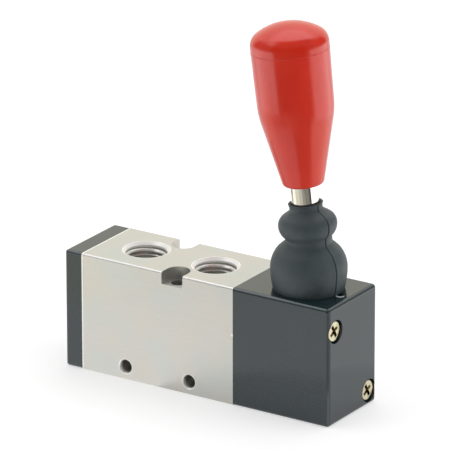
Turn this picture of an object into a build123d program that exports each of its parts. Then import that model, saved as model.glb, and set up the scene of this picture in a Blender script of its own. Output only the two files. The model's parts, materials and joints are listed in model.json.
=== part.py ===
"""Hand lever air valve: five ports and two positions, pushed by a lever and returned by a spring.

Millimetres. +X runs along the valve from its end cap to its lever housing, and +Z is up.
The origin is on the surface that the valve rests on, under the middle of its length and width.
The lever is drawn at rest, leaning towards the end cap.
"""

import os
from math import cos, radians, sin, sqrt, tan

from build123d import *

# Valve block: end cap, body and lever housing, bolted in a row
block_width = 28.5
block_height = 40.0
body_length = 58.0
cap_length = 6.5
housing_length = 36.0
body_edge_radius = 0.7
cap_edge_radius = 1.0
housing_edge_radius = 1.2

# Spool bore and its ring-shaped galleries
spool_height = 18.1
bore_radius = 7.0
bore_clearance = 0.05
gallery_spacing = 9.0
gallery_width = 4.2
gallery_radius = 8.2
passage_radius = 1.8

# Ports: two outlets on top, the supply and two exhausts below
outlet_spacing = 26.7
main_port_radius = 6.8
port_chamfer = 0.9
outlet_port_depth = 12.5
supply_port_depth = 9.0
exhaust_spacing = 40.8
exhaust_port_radius = 4.85
exhaust_chamfer = 0.7

# Mounting holes of the body
mounting_hole_radius = 2.25
side_hole_spacing = 24.4
side_hole_height = 4.45
side_hole_chamfer = 0.3
notch_radius = 4.0
notch_depth = 4.1
notch_from_middle = 5.9
notch_from_side = 3.6

# Screws that hold the cap and the housing to the body, on one diagonal of each end
screw_from_side = 4.2
screw_from_top = 8.6
screw_from_bottom = 4.8
screw_radius = 2.0
screw_hole_radius = 2.2
screw_head_radius = 3.3
screw_head_height = 2.4
screw_head_chamfer = 0.7
screw_head_depth = 0.7
counterbore_radius = 3.9
thread_length = 9.0
thread_drill_extra = 1.5
thread_clearance = 0.03

# Face seals round the bore, in grooves of the cap and the housing
face_seal_radius = 8.7
face_seal_thickness = 1.4
face_seal_chamfer = 0.4
seal_clearance = 0.05

# Lever: its tilt at rest, its pivot and its rod
lever_tilt = 6.73
pivot_above_block = 3.0
pivot_from_joint = 21.12
rod_radius = 4.4
ball_radius = 3.0
ball_clearance = 0.05
neck_radius = 2.0
arm_radius = 3.0
arm_taper = 2.5
arm_gap_to_spool = 0.6
arm_shoulder_below_pivot = 8.0
rod_thread_radius = 3.9
rod_thread_length = 17.0
rod_tip_chamfer = 0.8

# Handle grip, measured along the lever from the pivot
grip_start = 32.03
grip_length = 53.03
grip_foot_radius = 6.9
grip_foot_round = 1.5
grip_cone_length = 24.4
grip_shoulder_radius = 12.16
grip_shoulder_round = 30.0
grip_top_radius = 12.52
grip_crown_radius = 19.0
grip_edge_radius = 4.5
insert_radius = 5.3
insert_length = 19.0

# Pivot carrier: a threaded bush that holds the pivot pin, with the boot's seat on top
carrier_flange_radius = 11.0
carrier_flange_depth = 5.0
carrier_tower_radius = 9.5
carrier_tower_height = 7.2
carrier_tower_chamfer = 0.6
boot_groove_height = 1.7
boot_groove_depth = 0.7
slot_clearance_x = 0.35
slot_clearance_y = 0.15
pin_radius = 2.0
pin_end_gap = 0.25
bush_wall = 0.8
bush_end_gap = 0.3
running_clearance = 0.03
seat_clearance = 0.02

# Set screw that locks the carrier's thread
lock_screw_radius = 1.25
lock_screw_length = 4.2
lock_screw_depth = 0.5
lock_screw_angle = -4.0
lock_socket_radius = 0.7
lock_socket_depth = 1.4

# Rubber boot: two bulges, the lower one upright and the upper one on the lever's own line
boot_wall = 1.4
boot_clearance = 0.3
boot_foot_radius = 11.4
boot_lower_bulge_radius = 12.3
boot_lower_bulge_height = 6.9
boot_shoulder_radius = 10.05
boot_shoulder_height = 13.1
boot_flank_radius = 8.05
boot_flank_height = 14.9
boot_neck_radius = 7.4
boot_neck_height = 16.6
boot_bend_radius = 8.0
boot_upper_bulge_radius = 9.4
boot_upper_bulge_rise = 4.6
boot_upper_flank_radius = 7.6
boot_upper_flank_rise = 7.9
boot_collar_radius = 5.4
boot_collar_rise = 9.3
boot_collar_length = 2.4

# Spool: seal positions are measured from the middle of the body, with the lever at rest
spool_waist_radius = 4.6
spring_waist_radius = 5.5
seal_thickness = 1.5
seal_groove_width = 1.7
seal_root_radius = 5.55
seal_shift_supply = 1.05
seal_shift_outlet = 3.1
seal_shift_exhaust = 3.1
spool_land_length = 3.4
spool_tail_past_hole = 5.0
spool_end_past_seal = 3.2
spool_stop_gap = 0.1
guide_ring_width = 3.0
guide_ring_thickness = 0.8
guide_ring_first = 6.2
guide_ring_spacing = 6.0

# Return spring between the cap and the spool
spring_pocket_radius = 4.2
spring_pocket_depth = 8.0
spring_radius = 3.2
spring_wire = 0.9
spring_turns = 6
wire_sides = 6
cap_recess_depth = 3.0
spring_seat_thickness = 1.0
spring_seat_boss_radius = 2.4
spring_seat_boss_length = 2.0
spring_end_gap = 0.05

# Places worked out from the sizes above
block_length = cap_length + body_length + housing_length
cap_end = -block_length / 2
body_start = cap_end + cap_length
body_middle = body_start + body_length / 2
housing_start = body_start + body_length
housing_end = housing_start + housing_length
front = -block_width / 2
spool_radius = bore_radius - bore_clearance

tilt = radians(lever_tilt)
pivot_x = housing_start + pivot_from_joint
pivot_height = block_height + pivot_above_block
pivot_point = Vector(pivot_x, 0, pivot_height)
lever_direction = Vector(-sin(tilt), 0, cos(tilt))
lever_axis = Axis(pivot_point, lever_direction)
lever_section = Plane(origin=pivot_point, x_dir=(cos(tilt), 0, sin(tilt)), z_dir=(0, -1, 0))
arm_length = (pivot_height - spool_height) / cos(tilt)
ball_x = pivot_x + arm_length * sin(tilt)
neck_height = block_height + boot_neck_height
carrier_x = pivot_x - (neck_height - pivot_height) * tan(tilt)

stroke = 2 * arm_length * sin(tilt)
print("lever range", round(2 * lever_tilt, 3), "degrees")
print("spool stroke", round(stroke, 4), "mm, ratio", round(stroke / (2 * tilt) / 1000, 7), "m per rad")
print("pivot", round(pivot_x, 4), 0, pivot_height, "ball", round(ball_x, 4))

# The cap's screws take the other diagonal, so each end of the body has the same two holes.
screw_y = block_width / 2 - screw_from_side
housing_screws_at = [(-screw_y, block_height - screw_from_top), (screw_y, screw_from_bottom)]
cap_screws_at = [(-y, z) for y, z in housing_screws_at]
counterbore_depth = screw_head_height + screw_head_depth

outlets_x = [body_middle - outlet_spacing / 2, body_middle + outlet_spacing / 2]
exhausts_x = [body_middle - exhaust_spacing / 2, body_middle + exhaust_spacing / 2]
galleries_x = [body_middle + step * gallery_spacing for step in range(-2, 3)]
side_holes_x = [body_middle - side_hole_spacing / 2, body_middle + side_hole_spacing / 2]
notch_y = block_width / 2 - notch_from_side
notches_at = [(body_middle + notch_from_middle, -notch_y), (body_middle - notch_from_middle, notch_y)]


# Valve body: a bored aluminium block with the five ports and the mounting holes
with BuildPart() as valve_body:
    with BuildSketch(Plane.YZ.offset(body_start)):
        with Locations((0, block_height / 2)):
            Rectangle(block_width, block_height)
    extrude(amount=body_length)
    fillet(valve_body.edges().filter_by(Axis.X), body_edge_radius)
    with BuildSketch(Plane.YZ.offset(body_start)):
        with Locations((0, spool_height)):
            Circle(bore_radius)
    extrude(amount=body_length, mode=Mode.SUBTRACT)
    for x in galleries_x:
        with BuildSketch(Plane.YZ.offset(x - gallery_width / 2)):
            with Locations((0, spool_height)):
                Circle(gallery_radius)
        extrude(amount=gallery_width, mode=Mode.SUBTRACT)
    with Locations([(x, 0, block_height) for x in outlets_x]):
        CounterSinkHole(main_port_radius, main_port_radius + port_chamfer, outlet_port_depth, 90)
    with Locations(Location((body_middle, 0, 0), (180, 0, 0))):
        CounterSinkHole(main_port_radius, main_port_radius + port_chamfer, supply_port_depth, 90)
    with Locations([Location((x, 0, 0), (180, 0, 0)) for x in exhausts_x]):
        CounterSinkHole(exhaust_port_radius, exhaust_port_radius + exhaust_chamfer, supply_port_depth, 90)
    # Passages: outlets reach the second and fourth galleries, the ports below the others
    with Locations([(galleries_x[index], 0, block_height) for index in (1, 3)]):
        Hole(passage_radius, block_height - spool_height)
    with Locations([Location((galleries_x[index], 0, 0), (180, 0, 0)) for index in (0, 2, 4)]):
        Hole(passage_radius, spool_height)
    # Holes across the body, with a light chamfer at both mouths
    with Locations([Location((x, front, side_hole_height), (90, 0, 0)) for x in side_holes_x]):
        CounterSinkHole(mounting_hole_radius, mounting_hole_radius + side_hole_chamfer, block_width, 90)
    with Locations([Location((x, -front, side_hole_height), (-90, 0, 0)) for x in side_holes_x]):
        CounterSinkHole(mounting_hole_radius, mounting_hole_radius + side_hole_chamfer, block_width, 90)
    # Screw seats: each notch opens to the nearer side face
    for x, y in notches_at:
        with BuildSketch(Plane.XY.offset(block_height)):
            with Locations((x, y)):
                Circle(notch_radius)
            with Locations((x, 2 * y)):
                Rectangle(2 * notch_radius, 2 * abs(y))
        extrude(amount=-notch_depth, mode=Mode.SUBTRACT)
    with Locations([(x, y, block_height) for x, y in notches_at]):
        Hole(mounting_hole_radius, block_height)
    with Locations([Location((housing_start, y, z), (0, 90, 0)) for y, z in housing_screws_at]):
        Hole(screw_radius, thread_length + thread_drill_extra)
    with Locations([Location((body_start, y, z), (0, -90, 0)) for y, z in cap_screws_at]):
        Hole(screw_radius, thread_length + thread_drill_extra)
valve_body.part.label = "valve_body"

# End cap: a flat plate with a recess for the return spring and a groove for its seal
with BuildPart() as end_cap:
    with BuildSketch(Plane.YZ.offset(cap_end)):
        with Locations((0, block_height / 2)):
            Rectangle(block_width, block_height)
    extrude(amount=cap_length)
    fillet(end_cap.edges().filter_by(Axis.X), cap_edge_radius)
    fillet(end_cap.faces().sort_by(Axis.X)[0].edges(), cap_edge_radius)
    with BuildSketch(Plane.YZ.offset(body_start - cap_recess_depth)):
        with Locations((0, spool_height)):
            Circle(bore_radius)
    extrude(amount=cap_recess_depth, mode=Mode.SUBTRACT)
    with BuildSketch(Plane.YZ.offset(body_start - face_seal_thickness)):
        with Locations((0, spool_height)):
            Circle(face_seal_radius + face_seal_thickness / 2 + seal_clearance)
            Circle(face_seal_radius - face_seal_thickness / 2 - seal_clearance, mode=Mode.SUBTRACT)
    extrude(amount=face_seal_thickness, mode=Mode.SUBTRACT)
    with Locations([Location((cap_end, y, z), (0, -90, 0)) for y, z in cap_screws_at]):
        CounterBoreHole(screw_hole_radius, counterbore_radius, counterbore_depth, cap_length)
end_cap.part.label = "end_cap"

# Lever housing: a black block with the spool's tail bore, the lever's pocket and the carrier's seat
slot_reach = max(
    rod_radius / cos(tilt) + arm_shoulder_below_pivot * tan(tilt),
    arm_radius / cos(tilt) + (pivot_height - spool_height - bore_radius) * tan(tilt),
)
slot_length = 2 * (slot_reach + slot_clearance_x)
slot_width = 2 * (rod_radius + slot_clearance_y)
tail_end = ball_x + spool_tail_past_hole
lock_screw_reach = carrier_flange_radius + lock_screw_radius
lock_screw_at = (
    carrier_x + lock_screw_reach * cos(radians(lock_screw_angle)),
    lock_screw_reach * sin(radians(lock_screw_angle)),
)
with BuildPart() as lever_housing:
    with BuildSketch(Plane.YZ.offset(housing_start)):
        with Locations((0, block_height / 2)):
            Rectangle(block_width, block_height)
    extrude(amount=housing_length)
    fillet(lever_housing.edges().filter_by(Axis.X), housing_edge_radius)
    fillet(lever_housing.faces().sort_by(Axis.X)[-1].edges(), housing_edge_radius)
    with BuildSketch(Plane.YZ.offset(housing_start)):
        with Locations((0, spool_height)):
            Circle(bore_radius)
    extrude(amount=tail_end + spool_stop_gap - housing_start, mode=Mode.SUBTRACT)
    with BuildSketch(Plane.YZ.offset(housing_start)):
        with Locations((0, spool_height)):
            Circle(face_seal_radius + face_seal_thickness / 2 + seal_clearance)
            Circle(face_seal_radius - face_seal_thickness / 2 - seal_clearance, mode=Mode.SUBTRACT)
    extrude(amount=face_seal_thickness, mode=Mode.SUBTRACT)
    with BuildSketch(Plane.XY.offset(block_height)):
        with Locations((carrier_x, 0)):
            Circle(carrier_flange_radius + thread_clearance)
    extrude(amount=-carrier_flange_depth, mode=Mode.SUBTRACT)
    with BuildSketch(Plane.XY.offset(block_height)):
        with Locations((pivot_x, 0)):
            SlotOverall(slot_length, slot_width)
    extrude(amount=spool_height - block_height, mode=Mode.SUBTRACT)
    with Locations((*lock_screw_at, block_height)):
        Hole(lock_screw_radius + seat_clearance, lock_screw_depth + lock_screw_length + seat_clearance)
    with Locations([Location((housing_end, y, z), (0, 90, 0)) for y, z in housing_screws_at]):
        CounterBoreHole(screw_hole_radius, counterbore_radius, counterbore_depth, housing_length)
lever_housing.part.label = "lever_housing"


# Screws: pan heads sunk in the counterbores, with threads in the body
with BuildPart() as end_cap_screws:
    with BuildSketch(Plane.YZ.offset(cap_end + screw_head_depth)):
        with Locations(cap_screws_at):
            Circle(screw_head_radius)
    extrude(amount=screw_head_height)
    chamfer(end_cap_screws.faces().group_by(Axis.X)[0].edges(), screw_head_chamfer)
    with BuildSketch(Plane.YZ.offset(cap_end + counterbore_depth)):
        with Locations(cap_screws_at):
            Circle(screw_radius - thread_clearance)
    extrude(amount=cap_length - counterbore_depth + thread_length)
end_cap_screws.part.label = "end_cap_screws"

with BuildPart() as housing_screws:
    with BuildSketch(Plane.YZ.offset(housing_end - screw_head_depth)):
        with Locations(housing_screws_at):
            Circle(screw_head_radius)
    extrude(amount=-screw_head_height)
    chamfer(housing_screws.faces().group_by(Axis.X)[-1].edges(), screw_head_chamfer)
    with BuildSketch(Plane.YZ.offset(housing_end - counterbore_depth)):
        with Locations(housing_screws_at):
            Circle(screw_radius - thread_clearance)
    extrude(amount=counterbore_depth - housing_length - thread_length)
housing_screws.part.label = "housing_screws"


# Face seals: rubber rings with bevelled corners that fill their grooves
with BuildPart() as end_cap_seal:
    with BuildSketch(Plane.YZ.offset(body_start - face_seal_thickness)):
        with Locations((0, spool_height)):
            Circle(face_seal_radius + face_seal_thickness / 2)
            Circle(face_seal_radius - face_seal_thickness / 2, mode=Mode.SUBTRACT)
    extrude(amount=face_seal_thickness)
    chamfer(end_cap_seal.edges(), face_seal_chamfer)
end_cap_seal.part.label = "end_cap_seal"

with BuildPart() as housing_seal:
    with BuildSketch(Plane.YZ.offset(housing_start)):
        with Locations((0, spool_height)):
            Circle(face_seal_radius + face_seal_thickness / 2)
            Circle(face_seal_radius - face_seal_thickness / 2, mode=Mode.SUBTRACT)
    extrude(amount=face_seal_thickness)
    chamfer(housing_seal.edges(), face_seal_chamfer)
housing_seal.part.label = "housing_seal"


# Pivot carrier: screwed into the top of the housing, slotted for the lever, cross-drilled for its pin
tower_top = block_height + carrier_tower_height
with BuildPart() as pivot_carrier:
    with BuildSketch(Plane.XY.offset(block_height - carrier_flange_depth)):
        with Locations((carrier_x, 0)):
            Circle(carrier_flange_radius)
    extrude(amount=carrier_flange_depth)
    with BuildSketch(Plane.XY.offset(block_height)):
        with Locations((carrier_x, 0)):
            Circle(carrier_tower_radius)
    extrude(amount=carrier_tower_height)
    chamfer(pivot_carrier.faces().sort_by(Axis.Z)[-1].edges(), carrier_tower_chamfer)
    with BuildSketch(Plane.XY.offset(block_height)):
        with Locations((carrier_x, 0)):
            Circle(carrier_tower_radius)
            Circle(carrier_tower_radius - boot_groove_depth, mode=Mode.SUBTRACT)
    extrude(amount=boot_groove_height, mode=Mode.SUBTRACT)
    with BuildSketch(Plane.XY.offset(tower_top)):
        with Locations((pivot_x, 0)):
            SlotOverall(slot_length, slot_width)
    extrude(amount=-carrier_tower_height - carrier_flange_depth, mode=Mode.SUBTRACT)
    with Locations(Location((pivot_x, front, pivot_height), (90, 0, 0))):
        Hole(pin_radius + seat_clearance, block_width)
pivot_carrier.part.label = "pivot_carrier"

# Pivot pin: a ground steel pin across the carrier's tower
pin_reach = abs(pivot_x - carrier_x) + pin_radius
pin_length = 2 * (sqrt(carrier_tower_radius**2 - pin_reach**2) - pin_end_gap)
with BuildPart() as pivot_pin:
    with BuildSketch(Plane.XZ.offset(-pin_length / 2)):
        with Locations((pivot_x, pivot_height)):
            Circle(pin_radius)
    extrude(amount=pin_length)
pivot_pin.part.label = "pivot_pin"

# Lever bush: a bronze sleeve pressed into the eye of the rod
bush_length = 2 * (rod_radius - bush_end_gap)
with BuildPart() as lever_bush:
    with BuildSketch(Plane.XZ.offset(-bush_length / 2)):
        with Locations((pivot_x, pivot_height)):
            Circle(pin_radius + running_clearance + bush_wall)
            Circle(pin_radius + running_clearance, mode=Mode.SUBTRACT)
    extrude(amount=bush_length)
lever_bush.part.label = "lever_bush"

# Set screw with a hexagon socket, at the rim of the carrier
with BuildPart() as carrier_lock_screw:
    with BuildSketch(Plane.XY.offset(block_height - lock_screw_depth)):
        with Locations(lock_screw_at):
            Circle(lock_screw_radius)
    extrude(amount=-lock_screw_length)
    with BuildSketch(Plane.XY.offset(block_height - lock_screw_depth)):
        with Locations(lock_screw_at):
            RegularPolygon(lock_socket_radius, 6)
    extrude(amount=-lock_socket_depth, mode=Mode.SUBTRACT)
carrier_lock_screw.part.label = "carrier_lock_screw"


# Lever rod: turned in one piece, with a ball at its foot, an eye for the pin and a thread on top
neck_top = -arm_length + bore_radius + arm_gap_to_spool
ball_meets_neck = -arm_length + sqrt(ball_radius**2 - neck_radius**2)
rod_top = grip_start + rod_thread_length
with BuildPart() as lever_rod:
    with BuildSketch(lever_section):
        with BuildLine():
            Polyline(
                (neck_radius, ball_meets_neck),
                (neck_radius, neck_top),
                (arm_radius, neck_top + arm_radius - neck_radius),
                (arm_radius, -arm_shoulder_below_pivot - arm_taper),
                (rod_radius, -arm_shoulder_below_pivot),
                (rod_radius, grip_start),
                (rod_thread_radius, grip_start),
                (rod_thread_radius, rod_top - rod_tip_chamfer),
                (rod_thread_radius - rod_tip_chamfer, rod_top),
                (0, rod_top),
                (0, -arm_length - ball_radius),
            )
            ThreePointArc(
                (0, -arm_length - ball_radius),
                (ball_radius, -arm_length),
                (neck_radius, ball_meets_neck),
            )
        make_face()
    revolve(axis=lever_axis)
    with Locations(Location((pivot_x, front, pivot_height), (90, 0, 0))):
        Hole(pin_radius + running_clearance + bush_wall + seat_clearance, block_width)
lever_rod.part.label = "lever_rod"

# Grip insert: a brass sleeve moulded into the foot of the grip
with BuildPart() as grip_insert:
    with BuildSketch(Plane(pivot_point + lever_direction * grip_start, z_dir=lever_direction)):
        Circle(insert_radius)
        Circle(rod_thread_radius + thread_clearance, mode=Mode.SUBTRACT)
    extrude(amount=insert_length)
grip_insert.part.label = "grip_insert"

# Handle grip: a moulded cone that ends in a short drum with a domed top
crown_offset = sqrt((grip_crown_radius - grip_edge_radius) ** 2 - (grip_top_radius - grip_edge_radius) ** 2)
dome_height = grip_crown_radius - crown_offset
dome_start = grip_start + grip_length - dome_height
edge_end = (grip_top_radius - grip_edge_radius) * grip_crown_radius / (grip_crown_radius - grip_edge_radius)
edge_end_height = dome_start + crown_offset * grip_edge_radius / (grip_crown_radius - grip_edge_radius)
with BuildPart() as handle_grip:
    with BuildSketch(lever_section) as grip_profile:
        with BuildLine():
            Polyline(
                (0, dome_start),
                (0, grip_start),
                (grip_foot_radius, grip_start),
                (grip_shoulder_radius, grip_start + grip_cone_length),
                (grip_top_radius, dome_start),
            )
            TangentArc((grip_top_radius, dome_start), (edge_end, edge_end_height), tangent=(0, 1))
            RadiusArc((edge_end, edge_end_height), (0, dome_start + dome_height), -grip_crown_radius)
            Line((0, dome_start + dome_height), (0, dome_start))
        make_face()
        foot = grip_profile.vertices().sort_by_distance((grip_foot_radius, grip_start, 0))[0]
        fillet(foot, grip_foot_round)
        shoulder_at = (grip_shoulder_radius, grip_start + grip_cone_length, 0)
        fillet(grip_profile.vertices().sort_by_distance(shoulder_at)[0], grip_shoulder_round)
    revolve(axis=lever_axis)
    with BuildSketch(Plane(pivot_point + lever_direction * grip_start, z_dir=lever_direction)):
        Circle(insert_radius + seat_clearance)
    extrude(amount=insert_length + seat_clearance, mode=Mode.SUBTRACT)
handle_grip.part.label = "handle_grip"


# Rubber boot: its foot grips the carrier, its collar hugs the rod, and it bends at its neck.
# Its bulges are round outside and plain cones inside.
bend_run = boot_bend_radius * tan(tilt / 2)
lower_end = boot_neck_height - bend_run
boot_section = Plane(origin=(carrier_x, 0, block_height), x_dir=(1, 0, 0), z_dir=(0, -1, 0))
neck_point = Vector(carrier_x, 0, neck_height)
upper_section = Plane(neck_point, x_dir=lever_section.x_dir, z_dir=lever_section.z_dir)
boot_inside_radius = boot_neck_radius - boot_wall
boot_grip_radius = carrier_tower_radius - boot_groove_depth + boot_clearance
boot_bore_radius = carrier_tower_radius + boot_clearance
bead_height = boot_groove_height - boot_clearance
collar_bore_radius = rod_radius + boot_clearance
slant = boot_wall / sqrt(2)
with BuildPart() as rubber_boot:
    with BuildSketch(boot_section):
        with BuildLine():
            bulge = (boot_lower_bulge_radius, boot_lower_bulge_height)
            shoulder = (boot_shoulder_radius, boot_shoulder_height)
            flank = (boot_flank_radius, boot_flank_height)
            inner_bulge = (boot_lower_bulge_radius - boot_wall, boot_lower_bulge_height)
            inner_shoulder = (boot_shoulder_radius - slant, boot_shoulder_height - slant)
            inner_flank = (boot_flank_radius - slant, boot_flank_height - slant)
            TangentArc(bulge, (boot_foot_radius, 0), tangent=(0, -1))
            TangentArc(bulge, shoulder, tangent=(0, 1))
            Line(shoulder, flank)
            TangentArc((boot_neck_radius, lower_end), flank, tangent=(0, -1))
            Polyline(
                (boot_neck_radius, lower_end),
                (boot_inside_radius, lower_end),
                inner_flank,
                inner_shoulder,
                inner_bulge,
                (boot_bore_radius, bead_height),
                (boot_grip_radius, bead_height),
                (boot_grip_radius, 0),
                (boot_foot_radius, 0),
            )
        make_face()
    revolve(axis=Axis((carrier_x, 0, 0), (0, 0, 1)))
    with BuildSketch(Plane.XY.offset(block_height + lower_end)):
        with Locations((carrier_x, 0)):
            Circle(boot_neck_radius)
            Circle(boot_inside_radius, mode=Mode.SUBTRACT)
    bend_centre = (carrier_x - boot_bend_radius, 0, block_height + lower_end)
    revolve(axis=Axis(bend_centre, (0, -1, 0)), revolution_arc=lever_tilt)
    with BuildSketch(upper_section):
        with BuildLine():
            bulge = (boot_upper_bulge_radius, boot_upper_bulge_rise)
            flank = (boot_upper_flank_radius, boot_upper_flank_rise)
            inner_bulge = (boot_upper_bulge_radius - boot_wall, boot_upper_bulge_rise)
            inner_flank = (boot_upper_flank_radius - slant, boot_upper_flank_rise - slant)
            TangentArc(bulge, (boot_neck_radius, bend_run), tangent=(0, -1))
            TangentArc(bulge, flank, tangent=(0, 1))
            Polyline(
                flank,
                (boot_collar_radius, boot_collar_rise),
                (boot_collar_radius, boot_collar_rise + boot_collar_length),
                (collar_bore_radius, boot_collar_rise + boot_collar_length),
                (collar_bore_radius, boot_collar_rise - boot_wall),
                inner_flank,
                inner_bulge,
                (boot_inside_radius, bend_run),
                (boot_neck_radius, bend_run),
            )
        make_face()
    revolve(axis=lever_axis)
rubber_boot.part.label = "rubber_boot"


# Spool: turned lands with a seal each, a tail with two guide rings, and a cross hole for the ball.
# The three seals towards the lever lie where the other three lie, mirrored, at full stroke.
seals_at_rest = [
    -2 * gallery_spacing - seal_shift_exhaust,
    -gallery_spacing - seal_shift_outlet,
    seal_shift_supply,
]
seals_at_rest += [stroke - place for place in reversed(seals_at_rest)]
seals_x = [body_middle + place for place in seals_at_rest]
guide_rings_x = [housing_start + guide_ring_first + step * guide_ring_spacing for step in range(2)]
guide_root_radius = spool_radius - guide_ring_thickness
spool_start = seals_x[0] - spool_end_past_seal
half_land = spool_land_length / 2
waists = [(left + half_land, right - half_land) for left, right in zip(seals_x, seals_x[1:])]
spool_cuts = [(start, end, spool_waist_radius) for start, end in waists[1:] if end > start]
spool_cuts += [(*waists[0], spring_waist_radius)]
spool_cuts += [(x - seal_groove_width / 2, x + seal_groove_width / 2, seal_root_radius) for x in seals_x]
spool_cuts += [
    (x - guide_ring_width / 2 - seal_clearance, x + guide_ring_width / 2 + seal_clearance, guide_root_radius)
    for x in guide_rings_x
]
with BuildPart() as spool:
    with BuildSketch(Plane.YZ.offset(spool_start)):
        with Locations((0, spool_height)):
            Circle(spool_radius)
    extrude(amount=tail_end - spool_start)
    for start, end, root_radius in spool_cuts:
        with BuildSketch(Plane.YZ.offset(start)):
            with Locations((0, spool_height)):
                Circle(bore_radius)
                Circle(root_radius, mode=Mode.SUBTRACT)
        extrude(amount=end - start, mode=Mode.SUBTRACT)
    with Locations(Location((spool_start, 0, spool_height), (0, -90, 0))):
        Hole(spring_pocket_radius, spring_pocket_depth)
    with Locations((ball_x, 0, spool_height + bore_radius)):
        Hole(ball_radius + ball_clearance, 2 * bore_radius)
spool.part.label = "spool"

# Spool seals: six rubber rings, one in each land
with BuildPart() as spool_seals:
    for x in seals_x:
        with BuildSketch(Plane.YZ.offset(x - seal_thickness / 2)):
            with Locations((0, spool_height)):
                Circle(bore_radius - running_clearance)
                Circle(seal_root_radius + seat_clearance, mode=Mode.SUBTRACT)
        extrude(amount=seal_thickness)
spool_seals.part.label = "spool_seals"

# Guide rings: split plastic rings that keep the tail off the housing's bore
with BuildPart() as spool_guide_rings:
    for x in guide_rings_x:
        with BuildSketch(Plane.YZ.offset(x - guide_ring_width / 2)):
            with Locations((0, spool_height)):
                Circle(bore_radius - running_clearance)
                Circle(guide_root_radius + seat_clearance, mode=Mode.SUBTRACT)
        extrude(amount=guide_ring_width)
spool_guide_rings.part.label = "spool_guide_rings"

# Spring seat: a disc in the cap's recess, with a boss that centres the spring
with BuildPart() as spring_seat:
    with BuildSketch(Plane.YZ.offset(body_start - cap_recess_depth)):
        with Locations((0, spool_height)):
            Circle(bore_radius - seal_clearance)
    extrude(amount=spring_seat_thickness)
    with BuildSketch(Plane.YZ.offset(body_start - cap_recess_depth)):
        with Locations((0, spool_height)):
            Circle(spring_seat_boss_radius)
    extrude(amount=spring_seat_thickness + spring_seat_boss_length)
spring_seat.part.label = "spring_seat"

# Return spring: round wire wound between the seat and the floor of the spool's pocket
spring_start = body_start - cap_recess_depth + spring_seat_thickness + spring_end_gap
spring_end = spool_start + spring_pocket_depth - spring_end_gap
coil_height = spring_end - spring_start - spring_wire
with BuildPart() as return_spring:
    with BuildLine():
        coil = Helix(
            coil_height / spring_turns,
            coil_height,
            spring_radius,
            center=(spring_start + spring_wire / 2, 0, spool_height),
            direction=(1, 0, 0),
        )
    with BuildSketch(Plane(origin=coil @ 0, z_dir=coil % 0)):
        RegularPolygon(spring_wire / 2, wire_sides)
    sweep(is_frenet=True)
return_spring.part.label = "return_spring"

folder = "parts"
os.makedirs(folder, exist_ok=True)
for piece in [
    valve_body,
    end_cap,
    lever_housing,
    end_cap_screws,
    housing_screws,
    end_cap_seal,
    housing_seal,
    pivot_carrier,
    pivot_pin,
    lever_bush,
    carrier_lock_screw,
    lever_rod,
    grip_insert,
    handle_grip,
    rubber_boot,
    spool,
    spool_seals,
    spool_guide_rings,
    spring_seat,
    return_spring,
]:
    export_step(piece.part, f"{folder}/{piece.part.label}.step")
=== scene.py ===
"""Looks of the hand lever air valve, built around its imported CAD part.

Metres, in the part's own frame: +X from the end cap to the lever housing, -Y the near side, +Z up.
The sections follow the valve as it is put together.
"""

import json
from math import atan, cos, degrees, pi, radians, sin, sqrt, tan

import bmesh
import bpy
from mathutils import Matrix, Vector


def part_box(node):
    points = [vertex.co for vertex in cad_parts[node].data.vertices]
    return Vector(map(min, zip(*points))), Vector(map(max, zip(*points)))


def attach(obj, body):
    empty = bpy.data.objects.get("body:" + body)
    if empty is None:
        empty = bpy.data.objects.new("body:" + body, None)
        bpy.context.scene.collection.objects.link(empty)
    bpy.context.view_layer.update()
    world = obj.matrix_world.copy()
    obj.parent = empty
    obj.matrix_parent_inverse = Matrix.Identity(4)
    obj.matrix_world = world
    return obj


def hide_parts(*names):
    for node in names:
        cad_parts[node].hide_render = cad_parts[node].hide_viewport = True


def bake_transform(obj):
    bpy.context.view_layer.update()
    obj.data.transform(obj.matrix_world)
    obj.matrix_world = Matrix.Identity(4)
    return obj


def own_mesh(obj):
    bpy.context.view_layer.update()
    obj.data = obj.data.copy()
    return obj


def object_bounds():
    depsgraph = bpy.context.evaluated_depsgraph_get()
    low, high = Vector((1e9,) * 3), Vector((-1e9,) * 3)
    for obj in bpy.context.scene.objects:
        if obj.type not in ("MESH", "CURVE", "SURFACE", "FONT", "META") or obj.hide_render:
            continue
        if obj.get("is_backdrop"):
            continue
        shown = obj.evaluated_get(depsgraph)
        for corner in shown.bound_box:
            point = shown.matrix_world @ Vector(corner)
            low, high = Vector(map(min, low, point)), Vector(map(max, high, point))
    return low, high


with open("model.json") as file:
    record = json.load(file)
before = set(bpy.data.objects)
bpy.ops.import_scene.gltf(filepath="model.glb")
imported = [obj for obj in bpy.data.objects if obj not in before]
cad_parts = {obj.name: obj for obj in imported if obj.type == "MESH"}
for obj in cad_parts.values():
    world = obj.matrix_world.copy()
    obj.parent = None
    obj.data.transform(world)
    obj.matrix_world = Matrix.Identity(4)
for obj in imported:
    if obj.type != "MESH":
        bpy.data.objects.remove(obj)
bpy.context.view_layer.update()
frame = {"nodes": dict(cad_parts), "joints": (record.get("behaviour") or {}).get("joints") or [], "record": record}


# ---------------------------------------------------------------------------
# Valve body: a sawn and brushed bar of aluminium, bored and tapped.
# It is satin silver with fine lines along its length, and painted highlights make its end, its near top edge and
# the rims of its holes and ports bright.

MM = 0.001


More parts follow.
